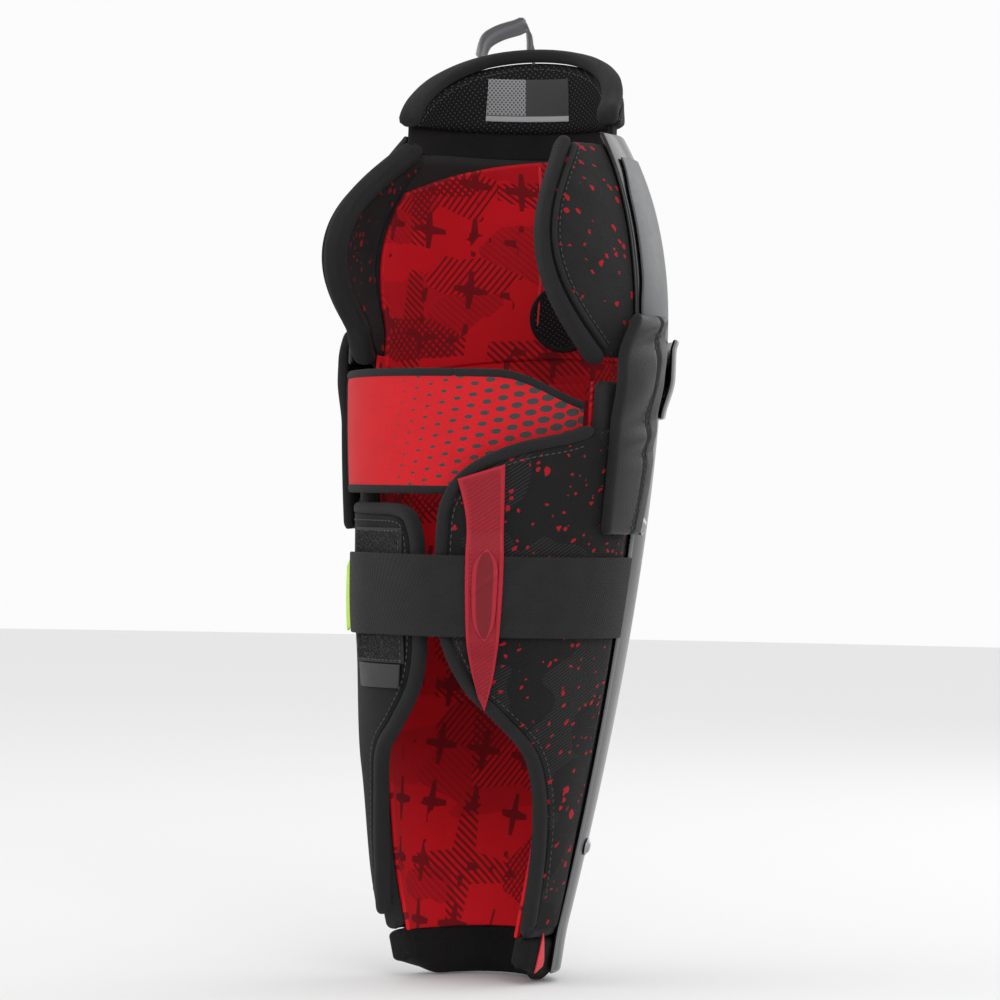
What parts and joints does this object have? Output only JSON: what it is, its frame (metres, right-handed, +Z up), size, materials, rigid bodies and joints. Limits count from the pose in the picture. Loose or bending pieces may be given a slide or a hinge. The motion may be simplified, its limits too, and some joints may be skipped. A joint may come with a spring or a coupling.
{
  "type": "hockey shin guard",
  "caption": "Padded ice hockey shin guard for the right leg, with hard knee cap and shin shell, thigh flap, two calf wraps, an elastic strap and a calf strap.",
  "frame": {"origin": "On the leg's axis at the ankle end, the height of the lowest hem edge.", "axes": "+Z up the leg, -Y the front of the shin, -X the wearer's outer side, +X the inner side."},
  "size_m": [0.189, 0.188, 0.5093],
  "materials": {
    "shell_plastic": "black glossy injection-moulded shell",
    "panel_grey": "satin gun-metal grey plate",
    "satin_ribbon": "dark grey satin ribbon",
    "foam": "closed-cell EVA foam",
    "liner_print": "red printed brushed knit",
    "knit_black": "black stretch knit, matt",
    "strap_knit_red": "bright red stretch knit",
    "moulded_red": "ribbed moulded red rubber",
    "elastic_webbing": "black woven elastic",
    "lime_tab": "lime-green bonded tab",
    "leatherette": "black synthetic leather",
    "label_print": "grey printed label",
    "rivet_steel": "plated steel rivet"
  },
  "bodies": {
    "shin": {"shin_shell": "shell_plastic", "shell_lip": "shell_plastic", "shell_rivet_1": "rivet_steel", "shell_rivet_2": "rivet_steel", "shell_rivet_3": "rivet_steel", "shell_rivet_4": "rivet_steel", "shin_foam": "foam", "shin_liner": "liner_print", "ankle_hem": "knit_black", "hem_flash": "strap_knit_red", "side_bolster_lateral": "leatherette", "side_bolster_medial": "leatherette", "wrap_base_lateral": "knit_black", "wrap_base_medial": "knit_black", "strap_anchor": "elastic_webbing"},
    "knee": {"knee_cap_shell": "shell_plastic", "cap_side_panel_lateral": "panel_grey", "cap_side_panel_medial": "panel_grey", "knee_foam": "foam", "knee_liner": "liner_print", "vent_mesh": "knit_black", "knee_wing_lateral": "knit_black", "knee_wing_medial": "knit_black", "wing_binding_lateral": "knit_black", "wing_binding_medial": "knit_black"},
    "thigh_flap": {"thigh_pad": "knit_black", "thigh_binding": "knit_black", "size_label": "label_print", "pull_loop": "satin_ribbon"},
    "outer_wrap_body": {"outer_wrap": "knit_black", "outer_wrap_binding": "knit_black", "strap_keeper": "moulded_red", "keeper_badge": "moulded_red", "elastic_strap": "elastic_webbing", "calf_strap": "strap_knit_red"},
    "strap_tail_body": {"strap_tail": "elastic_webbing", "pull_tab": "lime_tab", "hook_patch": "elastic_webbing"},
    "calf_tail_body": {"calf_strap_tail": "strap_knit_red"},
    "inner_wrap_body": {"inner_wrap": "knit_black", "inner_wrap_binding": "knit_black", "loop_patch": "knit_black", "loop_patch_tab": "leatherette"}
  },
  "joints": [
    {"name": "knee_flex", "type": "hinge", "parent": "shin", "child": "knee", "pos_m": [0, -0.04, 0.34], "axis": [1, 0, 0], "range_deg": [-5, 8], "stiffness_Nm_per_rad": 8},
    {"name": "thigh_flex", "type": "hinge", "parent": "knee", "child": "thigh_flap", "pos_m": [0, -0.08052, 0.4485], "axis": [1, 0, 0], "range_deg": [0, 25], "stiffness_Nm_per_rad": 1},
    {"name": "outer_wrap_open", "type": "hinge", "parent": "shin", "child": "outer_wrap_body", "pos_m": [-0.05871, 0.02722, 0.08935], "axis": [-0.116, -0.0027, 0.9932], "range_deg": [0, 45], "stiffness_Nm_per_rad": 0.4},
    {"name": "strap_peel", "type": "hinge", "parent": "outer_wrap_body", "child": "strap_tail_body", "pos_m": [-0.02399, 0.07322, 0.18064], "axis": [-0.0369, 0.0646, 0.9972], "range_deg": [0, 100], "stiffness_Nm_per_rad": 0.05},
    {"name": "calf_strap_peel", "type": "hinge", "parent": "outer_wrap_body", "child": "calf_tail_body", "pos_m": [-0.01029, 0.06753, 0.25629], "axis": [-0.007, -0.0012, 1], "range_deg": [0, 100], "stiffness_Nm_per_rad": 0.05},
    {"name": "inner_wrap_open", "type": "hinge", "parent": "shin", "child": "inner_wrap_body", "pos_m": [0.0531, 0.02771, 0.03416], "axis": [0.0918, -0.0125, 0.9957], "range_deg": [-27, 0], "stiffness_Nm_per_rad": 0.4}
  ],
  "couplings": [
    {"joint": "inner_wrap_open", "follows": "strap_peel", "ratio": -0.27}
  ]
}
